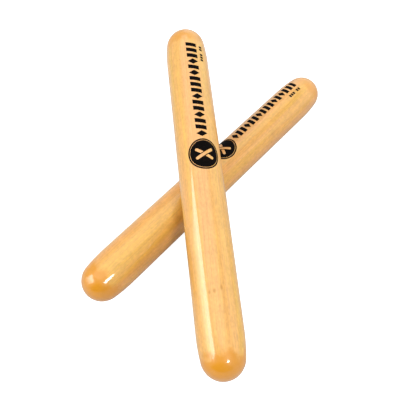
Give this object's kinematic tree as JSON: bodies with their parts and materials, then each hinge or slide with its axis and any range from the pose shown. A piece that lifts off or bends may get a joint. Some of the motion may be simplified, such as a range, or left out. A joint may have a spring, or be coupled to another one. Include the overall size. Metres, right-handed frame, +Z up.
{
  "type": "claves",
  "caption": "Solid round hardwood claves with rounded ends, lying crossed; held in the hands and struck together for a sharp click.",
  "frame": {"origin": "middle of the pair's footprint, on the surface that the pair lies on", "axes": "+X along the lower clave, towards its printed end; +Z up; the upper clave's raised, printed end points between +X and +Y"},
  "size_m": [0.21, 0.1574, 0.072],
  "materials": {
    "lacquered_wood": "pale hardwood under clear gloss lacquer",
    "print_ink": "black pad-printed ink"
  },
  "bodies": {
    "lower_clave": {"lower_clave": "lacquered_wood"},
    "upper_clave": {"upper_clave": "lacquered_wood"}
  },
  "joints": [
    {"name": "strike_swing", "type": "hinge", "parent": "lower_clave", "child": "upper_clave", "pos_m": [-0.08061, -0.06686, 0.01184], "axis": [0.7431, -0.6691, 0], "range_deg": [0, 60]}
  ]
}
